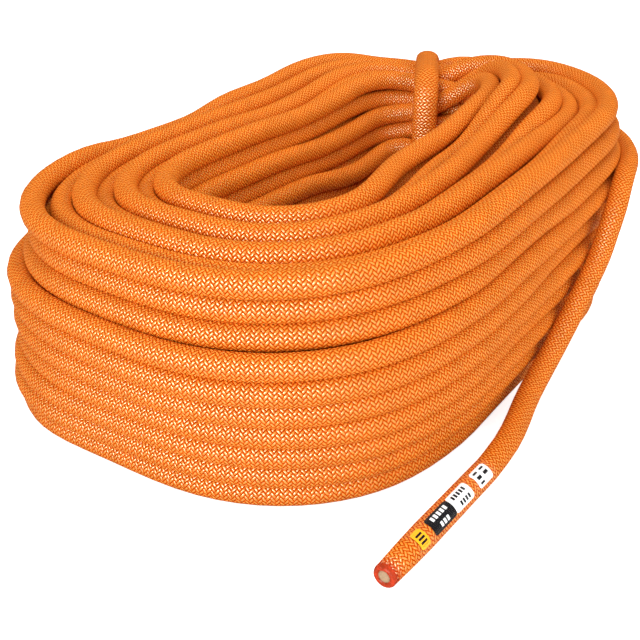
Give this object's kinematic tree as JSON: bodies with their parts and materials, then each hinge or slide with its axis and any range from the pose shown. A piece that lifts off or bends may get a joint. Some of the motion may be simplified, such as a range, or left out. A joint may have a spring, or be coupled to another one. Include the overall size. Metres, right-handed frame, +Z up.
{
  "type": "climbing rope",
  "caption": "Kernmantle climbing rope wound into an oblong factory coil, held by a binding turn, with its labelled free end led down the side and laid straight on the ground.",
  "frame": {"origin": "middle of the whole part's footprint, on the ground under it", "axes": "+Z up; X along the coil's long axis, with the rope's cut end pointing to -X; the free end lies on the -Y side"},
  "size_m": [0.364, 0.2506, 0.1213],
  "materials": {
    "sheath": "braided polyamide, slightly glossy yarns",
    "core": "undyed twisted polyamide",
    "marker": "thin plain tape",
    "melted_end": "fused smooth by heat",
    "white_label": "plain film with tick marks",
    "black_label": "plain film",
    "yellow_label": "plain film",
    "clear_film": "clear shrunk sleeve"
  },
  "bodies": {
    "root": {"rope_coil": "sheath", "binding_turn": "sheath", "free_stretch": "sheath", "end_sheath": "sheath", "core_strand_1": "core", "core_strand_2": "core", "core_strand_3": "core", "core_strand_4": "core", "core_strand_5": "core", "core_strand_6": "core", "core_strand_7": "core", "core_strand_8": "core", "core_strand_9": "core", "core_strand_10": "core", "core_strand_11": "core", "core_strand_12": "core", "marker_tape": "marker", "melted_cap": "melted_end", "core_end": "core", "length_label": "white_label", "standards_label": "white_label", "dark_label": "black_label", "year_label": "yellow_label", "clear_sleeve": "clear_film"}
  },
  "joints": []
}
